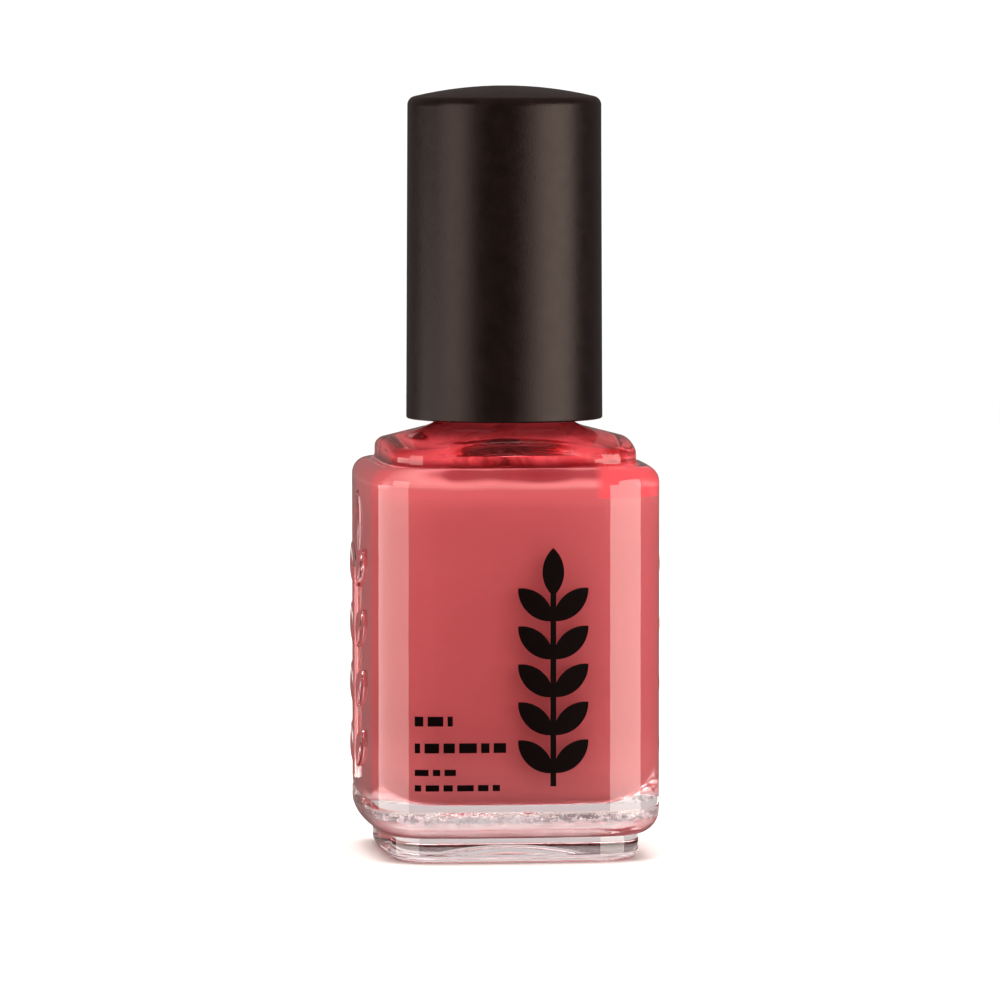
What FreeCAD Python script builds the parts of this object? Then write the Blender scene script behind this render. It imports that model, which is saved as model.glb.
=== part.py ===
"""Nail polish bottle with a screw cap and brush. Millimetres, +Z up, front towards -Y.
The origin is the middle of the underside, on the surface the bottle stands on."""

import FreeCAD, Part
import math
import os

V = FreeCAD.Vector
AXIS = V(0, 0, 1)
TOL = 0.03

# Glass body: a rounded square with slightly crowned sides, on a smaller foot
FACE_R = 120.0
BODY_HALF = 14.45
BODY_CORNER_R = 6.0
BODY_LOW_Z, BODY_TOP_Z = 2.45, 38.4
BODY_LOW_R, BODY_TOP_R = 2.4, 1.6
FOOT_HALF, FOOT_CORNER_R, FOOT_EDGE_R = 12.45, 4.6, 0.9
PUNT_R, PUNT_DEPTH = 7.6, 0.9

# Collar tier and sloping shoulder above the body
TIER_HALF, TIER_CORNER_R = 12.25, 5.0
TIER_EDGE_R, TIER_ROOT_R = 0.85, 0.45
SHOULDER_R, SHOULDER_Z = 8.1, 41.75
SLOPE = math.radians(14.4)

# Neck and its screw finish
NECK_R, NECK_ROOT_R, BORE_R, BORE_ROOT_R = 5.65, 2.9, 4.1, 2.0
RIM_Z, RIM_EDGE_R = 53.0, 0.45
THREAD_CREST_R = 6.45
PITCH, THREAD_OVER = 25.4 / 12, 0.15
THREAD_LOW_Z, THREAD_TURNS, END_SLANT = 46.9, 2.1, 22.0
RIDGE_ROOT_W, RIDGE_CREST_W = 1.1, 0.55

# Cavity in the glass
CAVITY_HALF, CAVITY_CORNER_R = 12.3, 4.2
CAVITY_LOW_Z, CAVITY_TOP_Z = 5.5, 37.2
CAVITY_LOW_R, CAVITY_TOP_R = 3.9, 2.6
UPPER_HALF, UPPER_CORNER_R, UPPER_EDGE_R = 10.2, 3.2, 1.0
SHOULDER_WALL = 1.65
FILL_Z = 35.4

# Raised sprig on both sides, printed sprig and dashes on the front
RELIEF, RELIEF_ROOT, DOME_R = 0.45, 1.2, 16.0
SIDE_LEAF_L, SIDE_LEAF_W, SIDE_LEAF_TILT = 6.6, 2.2, 52.0
SIDE_LOW_Z, SIDE_STEP, SIDE_PAIRS = 8.4, 5.9, 4
RIB_R = 0.7
PRINT_T = 0.05
SPRIG_X, SPRIG_LOW_Z, SPRIG_TOP_Z = 3.0, 7.7, 30.8
SPRIG_LEAF_L, SPRIG_LEAF_W, SPRIG_TILT = 4.7, 2.1, 47.0
SPRIG_PAIRS, SPRIG_STEM_W = 5, 0.55
DASH_X, DASH_GAP = -10.4, 0.42
DASH_ROWS = (
    (13.6, 0.95, (0.8, 1.5, 0.5)),
    (11.0, 0.95, (0.5, 1.4, 1.1, 1.7, 0.8, 1.2)),
    (8.8, 0.6, (1.3, 0.7, 1.1)),
    (7.3, 0.6, (0.6, 1.3, 0.9, 1.6, 1.0, 0.7)),
)

# Steel mixing balls on the cavity floor
BALL_R = 2.5
BALL_XY = ((7.0, 6.2), (-7.4, 5.4))

# Overcap
CAP_LOW_Z, CAP_RIM_Z, CAP_APEX_Z = 42.6, 73.97, 75.18
CAP_LOW_R, CAP_TOP_R, CAP_WALL = 9.63, 9.5, 1.1
CAP_EDGE_R, CAP_FOOT_R = 0.9, 0.2
CAP_RIBS, CAP_RIB_W = 8, 0.9
RIB_GRIP_R, RIB_STOP_R, RIB_LOW_Z = 7.42, 5.6, 45.4

# Inner cap, screwed on the neck
INNER_R, INNER_LOW_Z, INNER_TOP_Z = 7.7, 44.9, 55.4
INNER_ROOT_R, INNER_CREST_R = 6.75, 5.9
INNER_THREAD_TURNS = 2.2
INNER_RIDGE_ROOT_W, INNER_RIDGE_CREST_W = 0.95, 0.45
SLOT_DEPTH, SLOT_W, SLOT_COUNT = 0.33, 1.1, 8
STEM_HOLE_R = 2.05

# Liner between rim and inner cap
LINER_R, LINER_HOLE_R, LINER_T, LINER_GAP = 6.4, 2.3, 0.8, 0.02

# Brush
HEAD_R, HEAD_H = 3.2, 1.0
SHANK_R, SHANK_LOW_Z = 2.0, 51.0
STEM_TOP_R, STEM_LOW_R, STEM_LOW_Z = 1.6, 1.45, 22.0
SOCKET_R, SOCKET_DEPTH = 1.1, 3.2
TUFT_TIP_Z = 6.8
STAPLE_L, STAPLE_T, STAPLE_H, STAPLE_Z = 2.1, 0.3, 0.8, 24.0
WELL_R, WELL_LOW_Z = 2.1, 6.3


def outline(half, corner_r, z):
    """Rounded square with crowned sides, tangent all round; half is its reach along each axis."""
    side_c = half - FACE_R
    corner_c = (side_c + math.sqrt(2 * (FACE_R - corner_r) ** 2 - side_c ** 2)) / 2
    reach = FACE_R / (FACE_R - corner_r)
    jx, jy = side_c + (corner_c - side_c) * reach, corner_c * reach
    mid = corner_c + corner_r / math.sqrt(2)
    edges = []
    for quarter in range(4):
        turn = quarter * math.pi / 2
        c, s = math.cos(turn), math.sin(turn)

        def at(x, y):
            return V(x * c - y * s, x * s + y * c, z)

        edges.append(Part.Arc(at(jx, -jy), at(half, 0), at(jx, jy)).toShape())
        edges.append(Part.Arc(at(jx, jy), at(mid, mid), at(jy, jx)).toShape())
    return Part.Wire(edges)


def block(half, corner_r, low_z, top_z):
    return Part.Face(outline(half, corner_r, low_z)).extrude(V(0, 0, top_z - low_z))


def edges_between(shape, low_z, top_z):
    """Edges that lie wholly between two heights."""
    found = []
    for edge in shape.Edges:
        if edge.BoundBox.ZMin > low_z - TOL and edge.BoundBox.ZMax < top_z + TOL:
            found.append(edge)
    return found


def ring_edges(shape, radius, z):
    """Circular edges about the axis at one radius and height."""
    return [e for e in edges_between(shape, z, z) if abs(e.BoundBox.XMax - radius) < TOL]


def turned(points):
    """Solid turned about the axis from (radius, z) points; a point of four is an arc's mid and end."""
    edges = []
    here = V(points[0][0], 0, points[0][1])
    for point in points[1:] + points[:1]:
        end = V(point[-2], 0, point[-1])
        if len(point) == 4:
            edges.append(Part.Arc(here, V(point[0], 0, point[1]), end).toShape())
        else:
            edges.append(Part.LineSegment(here, end).toShape())
        here = end
    return Part.Face(Part.Wire(edges)).revolve(V(0, 0, 0), AXIS, 360)


def tube(outer_r, inner_r, low_z, top_z):
    return turned([(inner_r, low_z), (outer_r, low_z), (outer_r, top_z), (inner_r, top_z)])


def shoulder_and_neck(wall_r, root_r, drop, low_z, top_z):
    """Turned solid under the shoulder cone, which rounds up into a straight neck of wall_r."""
    foot_r = wall_r + root_r * (1 - math.sin(SLOPE))
    foot_z = SHOULDER_Z - drop - (foot_r - SHOULDER_R) * math.tan(SLOPE)
    centre_z = foot_z + root_r * math.cos(SLOPE)
    half_angle = (math.pi / 2 - SLOPE) / 2
    mid_r = wall_r + root_r * (1 - math.cos(half_angle))
    mid_z = centre_z - root_r * math.sin(half_angle)
    wide_r = 2 * SHOULDER_R
    wide_z = SHOULDER_Z - drop - (wide_r - SHOULDER_R) * math.tan(SLOPE)
    return turned([
        (0, low_z),
        (wide_r, low_z),
        (wide_r, wide_z),
        (foot_r, foot_z),
        (mid_r, mid_z, wall_r, centre_z),
        (wall_r, top_z),
        (0, top_z),
    ])


def thread(root_r, crest_r, root_w, crest_w, start_z, turns):
    """Right-hand ridge along a helix, which thins into its wall at both ends."""
    side = 1 if crest_r > root_r else -1
    over = side * THREAD_OVER
    taper = (root_w - crest_w) / 2 / (crest_r - root_r)
    helix = Part.makeHelix(PITCH, turns * PITCH, root_r)
    helix.translate(V(0, 0, start_z))
    wide = root_w / 2 + taper * over
    slim = crest_w / 2 - taper * over
    corners = [
        V(root_r - over, 0, start_z - wide),
        V(crest_r + over, 0, start_z - slim),
        V(crest_r + over, 0, start_z + slim),
        V(root_r - over, 0, start_z + wide),
    ]
    sweep = Part.Wire(helix).makePipeShell([Part.makePolygon(corners + corners[:1])], True, True)
    sunk_r = root_r - over / 2
    end_z = start_z + turns * PITCH
    room = tube(max(sunk_r, crest_r), min(sunk_r, crest_r), start_z - PITCH, end_z + PITCH)
    ends = [end_wedge(root_r, side, start_z, 0, 1), end_wedge(root_r, side, end_z, turns * 360, -1)]
    return sweep.common(room).cut(ends)


def end_wedge(root_r, side, z, angle, way):
    """Block that cuts a ridge off aslant at one end; way is 1 at its start and -1 at its end."""
    length = root_r
    corner_x = 0 if side > 0 else -length
    wedge = Part.makeBox(length, length, 0.9 * PITCH, V(corner_x, -length / 2, z - 0.45 * PITCH))
    wedge.rotate(V(0, 0, 0), AXIS, -way * side * END_SLANT)
    wedge.translate(V(root_r - side * THREAD_OVER / 4, 0, 0))
    wedge.rotate(V(0, 0, 0), AXIS, angle)
    return wedge


def leaf(length, width, tilt, x, z):
    """Flat pointed leaf in the XZ plane, from its foot at (x, z)."""
    lean = math.radians(tilt)

    def at(across, along):
        return V(
            x + across * math.cos(lean) + along * math.sin(lean),
            0,
            z - across * math.sin(lean) + along * math.cos(lean),
        )

    sides = [
        Part.Arc(at(0, 0), at(width / 2, length * 0.45), at(0, length)).toShape(),
        Part.Arc(at(0, length), at(-width / 2, length * 0.45), at(0, 0)).toShape(),
    ]
    return Part.Face(Part.Wire(sides))


def raised_leaf(length, width, tilt, z, side):
    """Pad of leaf outline on the side face at x = side * body half, domed along its length."""
    face_x = side * BODY_HALF
    blade = leaf(length, width, tilt, 0, z)
    blade.rotate(V(0, 0, 0), AXIS, side * 90)
    blade.translate(V(face_x - side * RELIEF_ROOT, 0, 0))
    middle = blade.CenterOfMass
    pad = blade.extrude(V(side * 2 * RELIEF_ROOT, 0, 0))
    dome = Part.makeSphere(DOME_R, V(face_x + side * (RELIEF - DOME_R), middle.y, middle.z))
    return pad.common(dome)


def side_sprig(side):
    """Raised rib with pairs of leaves and a leaf at its tip."""
    rib_h = (SIDE_PAIRS - 0.5) * SIDE_STEP
    rib_foot = V(side * (BODY_HALF + RELIEF - RIB_R), 0, SIDE_LOW_Z - 1)
    rib = Part.makeCylinder(RIB_R, rib_h, rib_foot)
    leaves = [raised_leaf(SIDE_LEAF_L, SIDE_LEAF_W, 0, SIDE_LOW_Z + rib_h, side)]
    for pair in range(SIDE_PAIRS):
        for tilt in (-SIDE_LEAF_TILT, SIDE_LEAF_TILT):
            z = SIDE_LOW_Z + pair * SIDE_STEP
            leaves.append(raised_leaf(SIDE_LEAF_L, SIDE_LEAF_W, tilt, z, side))
    return rib.fuse(leaves)


def cavity():
    """The inside of the bottle, from its rounded floor up through the bore."""
    main = block(CAVITY_HALF, CAVITY_CORNER_R, CAVITY_LOW_Z, CAVITY_TOP_Z)
    main = main.makeFillet(CAVITY_LOW_R, edges_between(main, CAVITY_LOW_Z, CAVITY_LOW_Z))
    main = main.makeFillet(CAVITY_TOP_R, edges_between(main, CAVITY_TOP_Z, CAVITY_TOP_Z))
    low_z = CAVITY_TOP_Z - CAVITY_TOP_R
    inner = shoulder_and_neck(BORE_R, BORE_ROOT_R, SHOULDER_WALL, low_z, RIM_Z + 1)
    upper = block(UPPER_HALF, UPPER_CORNER_R, low_z, RIM_Z + 1).common(inner)
    corners = edges_between(upper, CAVITY_TOP_Z + 0.5, SHOULDER_Z - SHOULDER_WALL)
    upper = upper.makeFillet(UPPER_EDGE_R, corners)
    return main.fuse(upper)


def glass_bottle(hollow):
    low = block(BODY_HALF, BODY_CORNER_R, BODY_LOW_Z, BODY_TOP_Z)
    low = low.makeFillet(BODY_LOW_R, edges_between(low, BODY_LOW_Z, BODY_LOW_Z))
    low = low.makeFillet(BODY_TOP_R, edges_between(low, BODY_TOP_Z, BODY_TOP_Z))

    foot = block(FOOT_HALF, FOOT_CORNER_R, 0, BODY_LOW_Z + BODY_LOW_R)
    foot = foot.makeFillet(FOOT_EDGE_R, edges_between(foot, 0, 0))
    punt_ball_r = (PUNT_R ** 2 + PUNT_DEPTH ** 2) / (2 * PUNT_DEPTH)
    punt = Part.makeSphere(punt_ball_r, V(0, 0, PUNT_DEPTH - punt_ball_r))

    neck = shoulder_and_neck(NECK_R, NECK_ROOT_R, 0, BODY_TOP_Z - 2, RIM_Z)
    neck = neck.makeFillet(RIM_EDGE_R, ring_edges(neck, NECK_R, RIM_Z))
    tier = block(TIER_HALF, TIER_CORNER_R, BODY_TOP_Z - 2, RIM_Z + 1).common(neck)
    tier = tier.makeFillet(TIER_EDGE_R, edges_between(tier, BODY_TOP_Z + 0.5, SHOULDER_Z - 0.2))

    body = low.fuse(tier)
    body = body.makeFillet(TIER_ROOT_R, tier_root_edges(body))
    ridge = thread(NECK_R, THREAD_CREST_R, RIDGE_ROOT_W, RIDGE_CREST_W, THREAD_LOW_Z, THREAD_TURNS)
    body = body.fuse([foot, side_sprig(-1), side_sprig(1)]).fuse(ridge)
    return body.cut([hollow, punt])


def tier_root_edges(body):
    """Edges where the tier stands on the flat top of the body."""
    found = []
    for edge in edges_between(body, BODY_TOP_Z, BODY_TOP_Z):
        box = edge.BoundBox
        if max(box.XMax, box.YMax, -box.XMin, -box.YMin) < TIER_HALF + TOL:
            found.append(edge)
    return found


def ball(x, y):
    return Part.makeSphere(BALL_R, V(x, y, CAVITY_LOW_Z + BALL_R))


def lacquer(hollow, balls):
    """The fill, with the well the brush turns in and the room the balls take."""
    span = 2 * BODY_HALF
    below = Part.makeBox(span, span, FILL_Z, V(-span / 2, -span / 2, 0))
    well = Part.makeCylinder(WELL_R, FILL_Z, V(0, 0, WELL_LOW_Z))
    return hollow.common(below).cut([well] + balls)


def print_skin():
    """Layer of print thickness over the four sides of the body."""
    outer = block(BODY_HALF + PRINT_T, BODY_CORNER_R, BODY_LOW_Z, BODY_TOP_Z)
    return outer.cut(block(BODY_HALF, BODY_CORNER_R, BODY_LOW_Z, BODY_TOP_Z))


def on_front(skin, faces):
    """Flat faces in the XZ plane, laid on the front side as one print."""
    solids = []
    for face in faces:
        face.translate(V(0, -BODY_HALF - 1, 0))
        solids.append(face.extrude(V(0, 3, 0)))
    shape = solids[0].fuse(solids[1:]) if len(solids) > 1 else solids[0]
    return shape.common(skin)


def bar(x, z, width, height):
    """Flat rectangle in the XZ plane from its lower left corner."""
    corners = [V(x, 0, z), V(x + width, 0, z), V(x + width, 0, z + height), V(x, 0, z + height)]
    return Part.Face(Part.makePolygon(corners + corners[:1]))


def front_sprig(skin):
    half_w = SPRIG_STEM_W / 2
    step = (SPRIG_TOP_Z - SPRIG_LOW_Z - SPRIG_LEAF_L) / SPRIG_PAIRS
    faces = [bar(SPRIG_X - half_w, SPRIG_LOW_Z, SPRIG_STEM_W, SPRIG_PAIRS * step + 1)]
    for pair in range(SPRIG_PAIRS):
        for tilt in (-SPRIG_TILT, SPRIG_TILT):
            z = SPRIG_LOW_Z + (pair + 0.35) * step
            faces.append(leaf(SPRIG_LEAF_L, SPRIG_LEAF_W, tilt, SPRIG_X, z))
    faces.append(leaf(SPRIG_LEAF_L, SPRIG_LEAF_W, 0, SPRIG_X, SPRIG_TOP_Z - SPRIG_LEAF_L))
    return on_front(skin, faces)


def front_dashes(skin):
    faces = []
    for z, height, lengths in DASH_ROWS:
        x = DASH_X
        for length in lengths:
            faces.append(bar(x, z, length, height))
            x += length + DASH_GAP
    return on_front(skin, faces)


def overcap():
    """Domed shell with ribs that key into the inner cap and stop against its top."""
    rim_r = CAP_TOP_R
    outer = turned([
        (0, CAP_LOW_Z),
        (CAP_LOW_R, CAP_LOW_Z),
        (rim_r, CAP_RIM_Z),
        (rim_r * 0.52, dome_z(rim_r * 0.52), 0, CAP_APEX_Z),
    ])
    outer = outer.makeFillet(CAP_EDGE_R, ring_edges(outer, rim_r, CAP_RIM_Z))
    outer = outer.makeFillet(CAP_FOOT_R, ring_edges(outer, CAP_LOW_R, CAP_LOW_Z))
    ceiling_z = CAP_RIM_Z - CAP_WALL
    hole = turned([
        (0, CAP_LOW_Z),
        (CAP_LOW_R - CAP_WALL, CAP_LOW_Z),
        (rim_r - CAP_WALL, ceiling_z),
        (0, ceiling_z),
    ])
    shell = outer.cut(hole)
    grip = tube(CAP_LOW_R - CAP_WALL / 2, RIB_GRIP_R, RIB_LOW_Z, INNER_TOP_Z)
    stop = tube(CAP_TOP_R - CAP_WALL / 2, RIB_STOP_R, INNER_TOP_Z, ceiling_z + CAP_WALL / 2)
    ring = grip.fuse(stop)
    ribs = [ring.common(spoke(CAP_RIB_W, 360 / CAP_RIBS * k)) for k in range(CAP_RIBS)]
    return shell.fuse(ribs)


def dome_z(radius):
    """Height of the spherical top at a radius."""
    rise = CAP_APEX_Z - CAP_RIM_Z
    ball_r = (CAP_TOP_R ** 2 + rise ** 2) / (2 * rise)
    return CAP_APEX_Z - ball_r + math.sqrt(ball_r ** 2 - radius ** 2)


def spoke(width, angle):
    """Radial wall of a width, from the axis outward."""
    wall = Part.makeBox(2 * CAP_LOW_R, width, CAP_APEX_Z, V(0, -width / 2, 0))
    wall.rotate(V(0, 0, 0), AXIS, angle)
    return wall


def inner_cap():
    cup = turned([
        (INNER_ROOT_R, INNER_LOW_Z),
        (INNER_R, INNER_LOW_Z),
        (INNER_R, INNER_TOP_Z),
        (STEM_HOLE_R, INNER_TOP_Z),
        (STEM_HOLE_R, RIM_Z + LINER_T + LINER_GAP),
        (INNER_ROOT_R, RIM_Z + LINER_T + LINER_GAP),
    ])
    ring = tube(INNER_R + 1, INNER_R - SLOT_DEPTH, INNER_LOW_Z - 1, INNER_TOP_Z + 1)
    slots = [ring.common(spoke(SLOT_W, 360 / SLOT_COUNT * k)) for k in range(SLOT_COUNT)]
    low_z = THREAD_LOW_Z - PITCH / 2
    ridge = thread(
        INNER_ROOT_R, INNER_CREST_R, INNER_RIDGE_ROOT_W, INNER_RIDGE_CREST_W,
        low_z, INNER_THREAD_TURNS,
    )
    return cup.fuse(ridge).cut(slots)


def liner():
    return tube(LINER_R, LINER_HOLE_R, RIM_Z, RIM_Z + LINER_T)


def brush_stem():
    socket_z = STEM_LOW_Z + SOCKET_DEPTH
    return turned([
        (0, socket_z),
        (SOCKET_R, socket_z),
        (SOCKET_R, STEM_LOW_Z),
        (STEM_LOW_R, STEM_LOW_Z),
        (STEM_TOP_R, SHANK_LOW_Z - 1),
        (SHANK_R, SHANK_LOW_Z),
        (SHANK_R, INNER_TOP_Z),
        (HEAD_R, INNER_TOP_Z),
        (HEAD_R, INNER_TOP_Z + HEAD_H),
        (0, INNER_TOP_Z + HEAD_H),
    ])


def oval(half_x, half_y, z):
    if half_x == half_y:
        return Part.Wire([Part.Circle(V(0, 0, z), AXIS, half_x).toShape()])
    return Part.Wire([Part.Ellipse(V(0, 0, z), half_x, half_y).toShape()])


def staple():
    return Part.makeBox(STAPLE_L, STAPLE_T, STAPLE_H, V(-STAPLE_L / 2, -STAPLE_T / 2, STAPLE_Z))


def bristle_tuft():
    """Bristles folded round the staple, spreading flat towards a rounded tip."""
    root_r = SOCKET_R - 0.02
    root = Part.makeCylinder(root_r, SOCKET_DEPTH, V(0, 0, STEM_LOW_Z))
    sections = [
        oval(root_r, root_r, STEM_LOW_Z),
        oval(1.35, 0.95, STEM_LOW_Z - 5),
        oval(1.75, 0.85, STEM_LOW_Z - 11),
        oval(1.55, 0.6, TUFT_TIP_Z + 1.6),
        oval(0.8, 0.25, TUFT_TIP_Z),
    ]
    return root.fuse(Part.makeLoft(sections, True)).cut(staple())


def main():
    os.makedirs("parts", exist_ok=True)
    hollow = cavity()
    balls = [ball(x, y) for x, y in BALL_XY]
    skin = print_skin()
    nodes = {
        "glass_bottle": glass_bottle(hollow),
        "lacquer": lacquer(hollow, balls),
        "mixing_balls": Part.makeCompound(balls),
        "front_sprig": front_sprig(skin),
        "front_dashes": front_dashes(skin),
        "seal_liner": liner(),
        "overcap": overcap(),
        "inner_cap": inner_cap(),
        "brush_stem": brush_stem(),
        "bristle_tuft": bristle_tuft(),
        "bristle_staple": staple(),
    }
    for name, shape in nodes.items():
        print(name, shape.isValid(), len(shape.Solids), round(shape.Volume, 2), shape.BoundBox)
        shape.exportStep("parts/" + name + ".step")


main()
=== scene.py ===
"""Looks of a nail polish bottle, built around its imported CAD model. Metres, +Z up, front towards -Y."""

import math
import random

import bmesh
import bpy
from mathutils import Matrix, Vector

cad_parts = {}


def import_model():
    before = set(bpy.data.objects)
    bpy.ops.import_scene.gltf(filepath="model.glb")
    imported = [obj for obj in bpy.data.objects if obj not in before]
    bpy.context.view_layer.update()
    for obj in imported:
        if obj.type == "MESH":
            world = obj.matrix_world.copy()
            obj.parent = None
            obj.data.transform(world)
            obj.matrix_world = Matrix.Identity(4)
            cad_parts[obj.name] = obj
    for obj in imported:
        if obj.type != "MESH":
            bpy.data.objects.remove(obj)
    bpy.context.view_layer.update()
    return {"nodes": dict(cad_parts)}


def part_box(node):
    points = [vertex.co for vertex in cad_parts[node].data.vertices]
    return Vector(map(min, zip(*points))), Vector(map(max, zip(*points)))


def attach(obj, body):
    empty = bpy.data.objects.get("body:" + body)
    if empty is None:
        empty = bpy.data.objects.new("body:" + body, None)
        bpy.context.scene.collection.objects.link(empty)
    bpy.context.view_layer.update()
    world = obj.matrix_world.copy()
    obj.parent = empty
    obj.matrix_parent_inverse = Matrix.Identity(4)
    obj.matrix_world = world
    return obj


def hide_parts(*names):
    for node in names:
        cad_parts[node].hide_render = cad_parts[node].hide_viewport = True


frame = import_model()
NODES = frame["nodes"]
MM = 0.001
FLOOR_OF_FILL, FILL_Z = (corner.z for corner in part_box("lacquer"))
RIM_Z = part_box("seal_liner")[0].z

GLASS_IOR, LACQUER_IOR = 1.52, 1.40
FILL_OVERLAP = 0.04 * MM    # the fill reaches this far into the glass, so no air shows between them
FILM_DEPTH, FILM_THICK = 0.03 * MM, 0.02 * MM
FILM_BELOW = 1.0 * MM       # the film starts this far below the top of the fill
FILM_RIM_GAP = 0.3 * MM     # and ends this far below the rim

LENS_MM, SENSOR_MM = 293.4, 36.0
CAMERA_AT, CAMERA_AIM = (-0.0972, -0.7925, 0.0874), (0, 0, 0.0375)
CAMERA_SHIFT = (-0.0043, -0.0304)
CAMERA_TURN = -97           # direction of the camera from the bottle, degrees from +X
LIGHT_AIM = Vector((0, 0, 0.04))
FLOOR_RADIUS, FLOOR_FADE = 2.5, (0.25, 0.9)
WARM = (1, 0.93, 0.86)


# ---------------------------------------------------------------- materials

class Shader:
    """One material with a Principled shader and short calls for its nodes."""

    def __init__(self, name, **sockets):
        self.mat = bpy.data.materials.new(name)
        self.mat.use_nodes = True
        self.nodes = self.mat.node_tree.nodes
        self.links = self.mat.node_tree.links
        self.bsdf = self.nodes["Principled BSDF"]
        self.out = self.nodes["Material Output"]
        self.coord = self.nodes.new("ShaderNodeTexCoord").outputs["Object"]
        for socket, value in sockets.items():
            self.bsdf.inputs[socket.replace("_", " ")].default_value = value

    def node(self, kind, **inputs):
        made = self.nodes.new("ShaderNode" + kind)
        for socket, value in inputs.items():
            self.feed(made.inputs[socket.replace("_", " ")], value)
        return made

    def xyz(self):
        return self.node("SeparateXYZ", Vector=self.coord).outputs

    def feed(self, socket, value):
        if isinstance(value, bpy.types.NodeSocket):
            self.links.new(value, socket)
        else:
            socket.default_value = value

    def noise(self, scale, detail=3.0, rough=0.5, stretch=(1, 1, 1), distort=0.0):
        place = self.node("Mapping", Vector=self.coord, Scale=stretch)
        made = self.node("TexNoise", Vector=place.outputs[0], Scale=scale, Detail=detail,
                         Roughness=rough, Distortion=distort)
        return made.outputs["Fac"]

    def ramp(self, value, *stops):
        made = self.nodes.new("ShaderNodeValToRGB")
        self.links.new(value, made.inputs[0])
        elements = made.color_ramp.elements
        while len(elements) < len(stops):
            elements.new(0.5)
        for element, (at, colour) in zip(elements, stops):
            element.position = at
            element.color = colour if len(colour) == 4 else (*colour, 1)
        return made.outputs[0]

    def span(self, value, low, high, from_low=0.3, from_high=0.7):
        """Value between from_low and from_high, stretched to low and high and held beyond them."""
        made = self.node("MapRange", Value=value)
        made.inputs[1].default_value = from_low
        made.inputs[2].default_value = from_high
        made.inputs[3].default_value = low
        made.inputs[4].default_value = high
        return made.outputs[0]

    def rise(self, value, start, end):
        """From 0 to 1 between two places in millimetres."""
        return self.span(value, 0.0, 1.0, start * MM, end * MM)

    def fade(self, value, start, end):
        """From 1 to 0 between two places in millimetres."""
        return self.span(value, 1.0, 0.0, start * MM, end * MM)

    def band(self, value, start, full, last, end):
        """1 between the middle two places in millimetres, 0 outside the outer two."""
        return self.product(self.rise(value, start, full), self.fade(value, last, end))

    def math(self, operation, *values):
        total = values[0]
        for value in values[1:]:
            made = self.node("Math")
            made.operation = operation
            self.feed(made.inputs[0], total)
            self.feed(made.inputs[1], value)
            total = made.outputs[0]
        return total

    def sum(self, *values):
        return self.math("ADD", *values)

    def product(self, *values):
        return self.math("MULTIPLY", *values)

    def greater(self, *values):
        return self.math("MAXIMUM", *values)

    def blend(self, share, first, second):
        """Colour from first to second by share."""
        made = self.node("Mix")
        made.data_type = "RGBA"
        for i, value in ((0, share), (6, first), (7, second)):
            self.feed(made.inputs[i], value)
        return made.outputs[2]

    def mixed(self, share, first, second):
        """Shader from first to second by share."""
        made = self.node("MixShader", Fac=share)
        self.links.new(first.outputs[0], made.inputs[1])
        self.links.new(second.outputs[0], made.inputs[2])
        return made

    def bump(self, height, distance, strength=1.0, normal=None):
        made = self.node("Bump", Height=height, Distance=distance, Strength=strength)
        if normal is not None:
            self.links.new(normal, made.inputs["Normal"])
        return made.outputs[0]

    def set(self, **sockets):
        for socket, value in sockets.items():
            self.feed(self.bsdf.inputs[socket.replace("_", " ")], value)


def rgb(r, g, b):
    """Linear colour from sRGB bytes."""
    def linear(v):
        v /= 255
        return v / 12.92 if v <= 0.04045 else ((v + 0.055) / 1.055) ** 2.4
    return (linear(r), linear(g), linear(b), 1)


def clear_glass():
    """Moulded glass: slow waves all over, a stippled band at the heel and stipple on the underside."""
    s = Shader("clear_glass", Transmission_Weight=1.0, IOR=GLASS_IOR)
    _, _, z = s.xyz()
    heel = s.product(s.band(z, 3.9, 4.3, 4.8, 5.2), s.span(s.noise(140, 3), 0.15, 1.0, 0.35, 0.62))
    underside = s.fade(z, 0.0, 0.1)
    stipple = s.product(s.noise(2300, 2, 0.5, (1, 1, 1.6)), s.greater(heel, underside))
    waves = s.noise(90, 2, 0.5, (1, 1, 0.6))
    specks = s.product(heel, s.span(s.noise(1500, 2, 0.6, (1, 1, 1.5)), 0.0, 1.0, 0.48, 0.53))
    s.set(Base_Color=s.ramp(specks, (0.0, (0.975, 0.885, 0.91)), (1.0, (0.12, 0.08, 0.1))),
          Normal=s.bump(stipple, 0.16 * MM, 1.0, s.bump(waves, 0.06 * MM)),
          Roughness=s.span(s.noise(160, 4), 0.0, 0.012))
    return s.mat


def pink_lacquer():
    """Cream lacquer behind the glass. It bends light less than glass does, so it mirrors seen edge-on."""
    s = Shader("pink_lacquer", IOR=LACQUER_IOR / GLASS_IOR, Roughness=0.02)
    drift = s.noise(35, 4, 0.6, (1, 1, 2.2), 0.6)
    x, _, z = s.xyz()
    # Painted light: the lacquer's colour is lighter and pinker towards the bottom of the fill, where the
    # floor lights it, and towards +X, the side the key lamp lights.
    painted_light = s.sum(s.span(z, 0.4, 0.0, FLOOR_OF_FILL, FLOOR_OF_FILL + 7.5 * MM),
                 s.span(x, 0.0, 0.15, 2.0 * MM, 10.5 * MM))
    cream = s.ramp(drift, (0.25, rgb(206, 98, 103)), (0.75, rgb(212, 104, 108)))
    s.set(Base_Color=s.blend(painted_light, cream, rgb(255, 150, 155)),
          Roughness=s.span(drift, 0.01, 0.04))
    return s.mat


# Colour of the film by height in millimetres above the fill: as the fill, pink, then crimson, darkened as
# painted shade under the ledge, then bright red, brightened as painted light over the tier and shoulder.
FILM_COLOURS_AND_PAINTED_LIGHT = ((0.4, (214, 102, 107)), (0.88, (214, 104, 108)), (1.3, (255, 158, 160)),
                (1.372, (248, 140, 144)), (1.448, (190, 80, 88)), (1.56, (176, 58, 66)),
                (3.28, (190, 58, 66)), (3.8, (255, 104, 114)))


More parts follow.
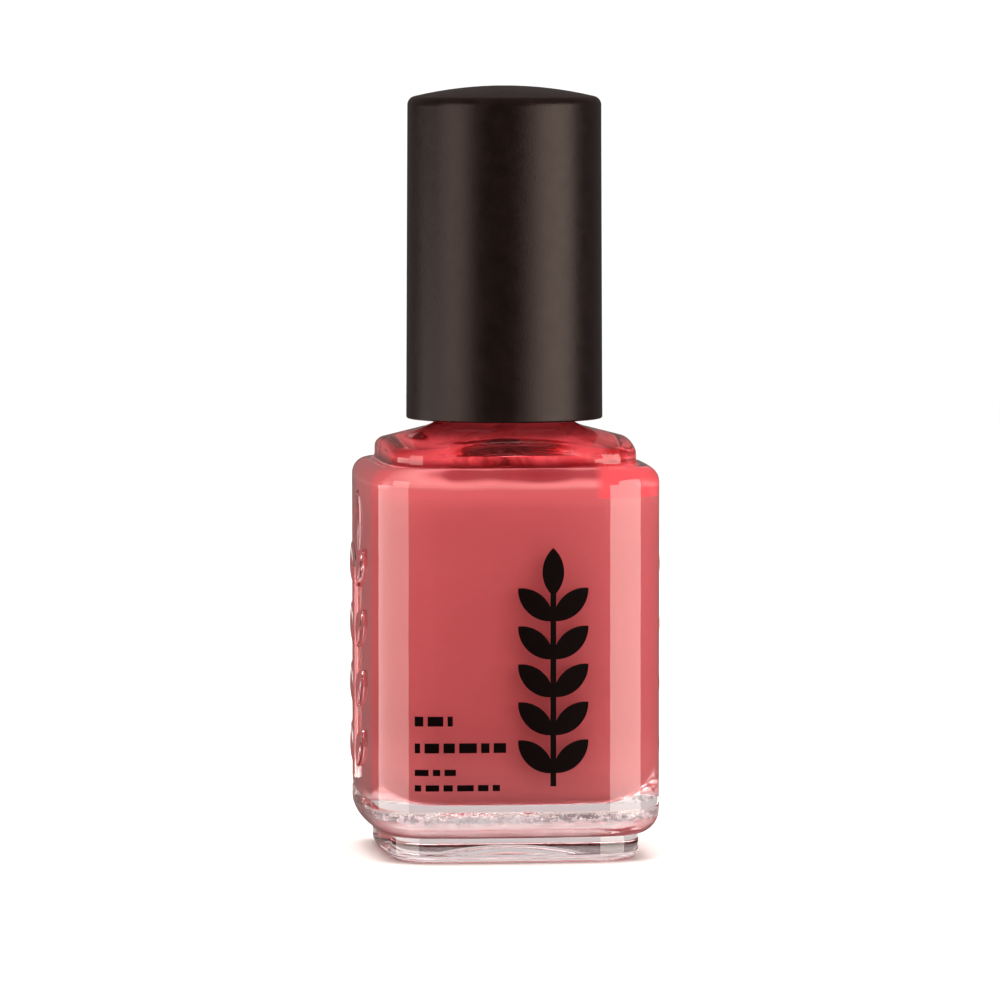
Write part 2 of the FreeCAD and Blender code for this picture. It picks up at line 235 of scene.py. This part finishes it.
def red_film():
    """Lacquer left on the walls above the fill: thick and pink just above it, then a thin red smear,
    darkened as painted shade under the ledge and brightened as painted light over the tier and shoulder.
    """
    s = Shader("red_film", IOR=LACQUER_IOR / GLASS_IOR, Roughness=0.1)
    x, y, z = s.xyz()
    above = s.sum(z, -FILL_Z)
    height = s.sum(above, s.span(s.noise(120, 2, 0.5, (1, 1, 0.3)), -0.07 * MM, 0.07 * MM),
                   s.span(x, -0.2 * MM, 0.0, -12.0 * MM, -6.5 * MM))
    wiped_front = s.product(s.fade(y, -9.4, -8.6), s.band(x, -9.5, -7.0, 3.0, 9.5),
                            s.band(above, 4.0, 4.3, 5.1, 5.5))
    wiped_corner = s.product(s.fade(y, -2.0, 0.0), s.fade(x, -8.5, -7.5), s.band(above, 4.0, 4.4, 5.3, 5.7))
    smear = s.sum(s.noise(150, 4, 0.55, (1, 1, 0.5), 0.8),
                  s.product(s.greater(wiped_front, wiped_corner), -0.5))
    patch = s.product(s.fade(y, -4.0, 0.0), s.rise(x, 7.2, 8.2), s.fade(above, 3.0, 3.4))
    roof = s.product(s.band(above, 5.3, 5.9, 6.4, 7.4), 0.8)
    thick = s.greater(patch, roof, s.fade(height, 2.3, 3.1), s.span(smear, 0.05, 1.0, 0.28, 0.5))

    # The film's colour by height, with painted shade under the ledge and painted light over the tier and
    # shoulder.
    low, high = FILM_COLOURS_AND_PAINTED_LIGHT[0][0], 4.4
    film_and_painted_light = s.ramp(s.rise(height, low, high),
                    *(((at - low) / (high - low), rgb(*colour)) for at, colour in FILM_COLOURS_AND_PAINTED_LIGHT))
    s.set(Base_Color=s.blend(patch, film_and_painted_light, rgb(248, 96, 104)))
    glow = s.node("BsdfTranslucent", Color=rgb(255, 150, 152))
    lit_through = s.span(height, 0.0, 0.35, 1.0 * MM, 2.8 * MM)
    body = s.mixed(lit_through, s.bsdf, glow)
    stain = s.ramp(smear, (0.2, (1.0, 0.88, 0.88)), (0.36, (0.95, 0.25, 0.27)))
    clear = s.node("BsdfTransparent", Color=stain)
    s.links.new(s.mixed(thick, clear, body).outputs[0], s.out.inputs["Surface"])
    return s.mat


def soft_black():
    """Matte soft-touch plastic of the overcap."""
    s = Shader("black_soft_plastic", IOR=1.34, Roughness=0.4, Specular_Tint=(1, 0.8, 0.74, 1))
    grain = s.noise(6500, 3, 0.6)
    mottle = s.noise(700, 3, 0.6)
    s.set(Base_Color=s.ramp(mottle, (0.3, (0.0055, 0.0028, 0.0028)), (0.7, (0.0085, 0.0046, 0.0044))),
          Roughness=s.span(mottle, 0.32, 0.4),
          Normal=s.bump(grain, 0.02 * MM, 0.8))
    return s.mat


def black_plastic():
    """Plain moulded plastic of the inner cap."""
    s = Shader("black_cap_plastic", Roughness=0.35)
    mottle = s.noise(900, 3)
    s.set(Base_Color=s.ramp(mottle, (0.3, (0.012, 0.011, 0.011)), (0.7, (0.02, 0.018, 0.018))),
          Roughness=s.span(mottle, 0.3, 0.42),
          Normal=s.bump(s.noise(2500), 0.01 * MM, 0.5))
    return s.mat


def black_print():
    """Ink of the front print, dull so that it stays dark where the glass shines."""
    s = Shader("black_print", Roughness=0.45, Specular_IOR_Level=0.06)
    mottle = s.noise(2500, 3)
    s.set(Base_Color=s.ramp(mottle, (0.3, rgb(6, 1, 1)), (0.7, rgb(12, 3, 3))),
          Roughness=s.span(mottle, 0.4, 0.55))
    return s.mat


def foam():
    """Closed-cell foam of the liner."""
    s = Shader("liner_foam", Roughness=0.9)
    cells = s.node("TexVoronoi", Vector=s.coord, Scale=2600.0).outputs["Distance"]
    s.set(Base_Color=s.ramp(cells, (0.0, (0.62, 0.61, 0.58)), (0.8, (0.82, 0.81, 0.78))),
          Roughness=s.span(cells, 0.8, 0.95, 0, 1),
          Normal=s.bump(cells, 0.04 * MM, 0.6))
    return s.mat


def coated(name, dark, light, rough):
    """Dark plastic or nylon of the brush, with wet lacquer on it up to about the top of the fill."""
    s = Shader(name, Roughness=rough, Coat_Weight=0.4, Coat_Roughness=0.08)
    _, _, z = s.xyz()
    drips = s.span(s.noise(600, 2, 0.5, (1, 1, 0.15)), -2.0 * MM, 2.0 * MM)
    wet = s.fade(s.sum(z, -FILL_Z, drips), -0.2, 0.0)
    dry = s.ramp(s.noise(900, 3), (0.3, dark), (0.7, light))
    streaks = s.noise(1500, 3, 0.5, (1, 1, 0.06))
    s.set(Base_Color=s.blend(s.product(wet, s.span(streaks, 0.65, 1.0, 0.35, 0.55)), dry, rgb(212, 98, 103)),
          Roughness=s.span(wet, rough, 0.14, 0.0, 1.0),
          Normal=s.bump(streaks, 0.03 * MM, 0.6))
    return s.mat


def steel():
    s = Shader("ball_steel", Metallic=1.0, Roughness=0.2)
    s.set(Base_Color=s.ramp(s.noise(900, 3), (0.3, (0.5, 0.5, 0.5)), (0.7, (0.6, 0.6, 0.61))),
          Roughness=s.span(s.noise(1500), 0.12, 0.3))
    return s.mat


def paint(node, mat):
    for slot in NODES[node].material_slots:
        slot.material = mat


# ---------------------------------------------------------------- stage

def aim(obj, target):
    obj.rotation_euler = (Vector(target) - obj.location).to_track_quat("-Z", "Y").to_euler()


def camera():
    data = bpy.data.cameras.new("camera")
    obj = bpy.data.objects.new("camera", data)
    bpy.context.collection.objects.link(obj)
    bpy.context.scene.camera = obj
    data.lens, data.sensor_width = LENS_MM, SENSOR_MM
    data.clip_end = 100
    data.shift_x, data.shift_y = CAMERA_SHIFT
    obj.location = CAMERA_AT
    aim(obj, CAMERA_AIM)


def softbox(name, turn, lift, distance, width, height, watts, tint, mirrored=True):
    """Area light aimed at the bottle, turned to the right of the camera and lifted, both in degrees."""
    data = bpy.data.lights.new(name, "AREA")
    data.shape, data.size, data.size_y = "RECTANGLE", width, height
    data.energy, data.color = watts, tint
    obj = bpy.data.objects.new(name, data)
    bpy.context.collection.objects.link(obj)
    angle, up = math.radians(CAMERA_TURN + turn), math.radians(lift)
    away = Vector((math.cos(angle) * math.cos(up), math.sin(angle) * math.cos(up), math.sin(up)))
    obj.location = LIGHT_AIM + distance * away
    obj.visible_glossy = mirrored
    aim(obj, LIGHT_AIM)


def floor():
    """Disc that fades out into the background: near white to the camera, mid grey to every other ray."""
    bpy.ops.mesh.primitive_circle_add(vertices=96, radius=FLOOR_RADIUS, fill_type="NGON")
    obj = bpy.context.object
    obj.name = "floor"
    s = Shader("floor", Roughness=0.6, Specular_IOR_Level=0.1)
    seen = s.node("LightPath").outputs["Is Camera Ray"]
    s.set(Base_Color=s.ramp(seen, (0.0, (0.5, 0.49, 0.48)), (1.0, (0.97, 0.97, 0.97))))
    reach = s.node("VectorMath", Vector=s.coord)
    reach.operation = "LENGTH"
    s.set(Alpha=s.span(reach.outputs["Value"], 1.0, 0.0, *FLOOR_FADE))
    obj.data.materials.append(s.mat)
    obj.visible_glossy = False


def world():
    """White seen directly, less so through the glass, dim elsewhere, as in a studio with a white sweep."""
    w = bpy.data.worlds.new("studio")
    bpy.context.scene.world = w
    w.use_nodes = True
    nodes, links = w.node_tree.nodes, w.node_tree.links
    rays = nodes.new("ShaderNodeLightPath").outputs
    coord = nodes.new("ShaderNodeTexCoord")
    split = nodes.new("ShaderNodeSeparateXYZ")
    links.new(coord.outputs["Generated"], split.inputs[0])

    def by_direction(*values):
        """Strength from front to back: two values of Y, then the strength at each."""
        made = nodes.new("ShaderNodeMapRange")
        links.new(split.outputs["Y"], made.inputs[0])
        for i, value in enumerate(values, 1):
            made.inputs[i].default_value = value
        return made.outputs[0]

    through_glass = nodes.new("ShaderNodeMix")
    links.new(rays["Is Transmission Ray"], through_glass.inputs[0])
    links.new(by_direction(-0.3, 0.95, 0.03, 0.18), through_glass.inputs[2])
    links.new(by_direction(-0.2, 0.6, 0.45, 0.7), through_glass.inputs[3])
    strength = nodes.new("ShaderNodeMix")
    links.new(rays["Is Camera Ray"], strength.inputs[0])
    links.new(through_glass.outputs[0], strength.inputs[2])
    strength.inputs[3].default_value = 1.05
    tint = nodes.new("ShaderNodeMix")
    tint.data_type = "RGBA"
    links.new(strength.outputs[0], tint.inputs[0])
    tint.inputs[6].default_value, tint.inputs[7].default_value = (1, 0.86, 0.8, 1), (1, 1, 1, 1)
    links.new(strength.outputs[0], nodes["Background"].inputs["Strength"])
    links.new(tint.outputs[2], nodes["Background"].inputs["Color"])


camera()
bpy.context.scene.view_settings.view_transform = "Standard"

floor()
world()
# Name, degrees right of the camera, degrees up, distance, width, height, watts, tint.
softbox("key", 63.5, 0, 0.75, 0.652, 0.7, 7.5, WARM)
softbox("key_low", 32, -14.8, 0.75, 0.211, 0.3, 1.0, WARM)
softbox("side", -59, 0, 0.7, 0.428, 0.7, 3.4, WARM)
softbox("side_low", -95.5, -15, 0.7, 0.496, 0.3, 1.7, WARM)
softbox("top", 0, 88, 1.0, 1.2, 1.2, 26.0, (1, 0.95, 0.91), mirrored=False)
softbox("fill", 40, 12, 1.0, 0.8, 0.5, 1.6, WARM, mirrored=False)
softbox("fill_left", -100, 10, 0.9, 0.8, 0.5, 3.0, WARM, mirrored=False)

paint("glass_bottle", clear_glass())
paint("overcap", soft_black())
plastic = black_plastic()
paint("inner_cap", plastic)
paint("brush_stem", coated("wet_stem", (0.012, 0.011, 0.011), (0.02, 0.018, 0.018), 0.35))
printed = black_print()
paint("front_sprig", printed)
paint("front_dashes", printed)
paint("seal_liner", foam())
metal = steel()
paint("mixing_balls", metal)
paint("bristle_staple", metal)


# ---------------------------------------------------------------- pieces

def add(name, mesh, mat):
    """New object with one material."""
    mesh.materials.clear()
    mesh.materials.append(mat)
    obj = bpy.data.objects.new(name, mesh)
    bpy.context.collection.objects.link(obj)
    return obj


def smooth_mesh(name, made):
    mesh = bpy.data.meshes.new(name)
    made.to_mesh(mesh)
    made.free()
    for p in mesh.polygons:
        p.use_smooth = True
    return mesh


def lacquer_fill():
    """The fill, a hair wider than the cavity, so that no air shows between it and the glass."""
    mesh = NODES["lacquer"].data.copy()
    normals = [v.normal.copy() for v in mesh.vertices]
    for v, n in zip(mesh.vertices, normals):
        v.co += FILL_OVERLAP * n
    obj = add("lacquer_fill", mesh, pink_lacquer())
    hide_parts("lacquer")
    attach(obj, "bottle")


def film():
    """Thin shell just under the surface of the cavity walls, from the top of the fill to the rim."""
    made = bmesh.new()
    made.from_mesh(NODES["glass_bottle"].data)
    bmesh.ops.remove_doubles(made, verts=made.verts, dist=0.001 * MM)
    made.faces.ensure_lookup_table()
    cavity_floor = Vector((0, 0, FLOOR_OF_FILL))
    start = min(made.faces, key=lambda f: (f.calc_center_median() - cavity_floor).length)
    seen, queue = {start}, [start]
    while queue:
        for edge in queue.pop().edges:
            for f in edge.link_faces:
                if f not in seen and f.verts[0].co.z < RIM_Z - FILM_RIM_GAP:
                    seen.add(f)
                    queue.append(f)
    keep = {f for f in seen if max(v.co.z for v in f.verts) > FILL_Z - FILM_BELOW}
    bmesh.ops.delete(made, geom=[f for f in made.faces if f not in keep], context="FACES")
    made.normal_update()
    for v in made.verts:
        v.co -= FILM_DEPTH * v.normal
    bmesh.ops.solidify(made, geom=made.faces[:], thickness=-FILM_THICK)
    bmesh.ops.recalc_face_normals(made, faces=made.faces)
    obj = add("lacquer_film", smooth_mesh("lacquer_film", made), red_film())
    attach(obj, "bottle")


def lerp(stops, at):
    """Value between (position, value) stops, eased at each."""
    for (p0, v0), (p1, v1) in zip(stops, stops[1:]):
        if at <= p1:
            f = (at - p0) / (p1 - p0)
            f = f * f * (3 - 2 * f)
            return v0 + (v1 - v0) * f
    return stops[-1][1]


# The tuft's outline as (share of the way down from the ferrule, half of the size in mm).
TUFT_WIDE = ((0, 1.0), (0.3, 1.27), (0.68, 1.62), (0.88, 1.45), (1.0, 0.98))
TUFT_DEEP = ((0, 1.0), (0.3, 0.9), (0.68, 0.78), (0.88, 0.55), (1.0, 0.3))
STRAND_RADIUS = 0.05 * MM
GOLDEN_TURN = math.pi * (3 - math.sqrt(5))


def ring(made, x, y, z, radius, sides):
    """Vertices of one level round."""
    turns = (2 * math.pi * s / sides for s in range(sides))
    return [made.verts.new((x + radius * math.cos(a), y + radius * math.sin(a), z)) for a in turns]


def bristles(count=300, sides=5, steps=14):
    """Tapered strands packed in the tuft's outline, longest in the middle, a little splayed and wavy."""
    (_, _, tip_z), (_, _, root_z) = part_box("bristle_tuft")
    ferrule_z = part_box("brush_stem")[0].z
    drop = ferrule_z - tip_z
    made = bmesh.new()
    pick = random.Random(7)
    for k in range(count):
        radius = math.sqrt((k + 0.5) / count) * 0.96
        u, v = radius * math.cos(k * GOLDEN_TURN), radius * math.sin(k * GOLDEN_TURN)
        end = 1.0 - 0.2 * radius ** 3 - pick.uniform(0, 0.04)
        sway_u, sway_v, phase = pick.uniform(-0.07, 0.07), pick.uniform(-0.07, 0.07), pick.uniform(0, 6.28)
        rings = []
        for i in range(steps + 1):
            f = i / steps
            z = root_z - (root_z - ferrule_z + drop * end) * f
            at = max(0.0, (ferrule_z - z) / drop)
            bend = at * (0.6 + 0.4 * math.sin(phase + 5 * at))
            taper = 1 - 0.55 * max(0.0, f - 0.8) / 0.2
            x = (u * lerp(TUFT_WIDE, at) + sway_u * bend) * MM
            y = (v * lerp(TUFT_DEEP, at) + sway_v * bend) * MM
            rings.append(ring(made, x, y, z, STRAND_RADIUS * taper, sides))
        for low, high in zip(rings, rings[1:]):
            for s in range(sides):
                n = (s + 1) % sides
                made.faces.new((low[s], high[s], high[n], low[n]))
        made.faces.new(rings[0])
        made.faces.new(rings[-1][::-1])
    bmesh.ops.recalc_face_normals(made, faces=made.faces)
    nylon = coated("wet_nylon", (0.012, 0.01, 0.01), (0.05, 0.04, 0.04), 0.3)
    obj = add("bristles", smooth_mesh("bristles", made), nylon)
    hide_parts("bristle_tuft")
    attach(obj, "cap")


lacquer_fill()
bristles()
film()
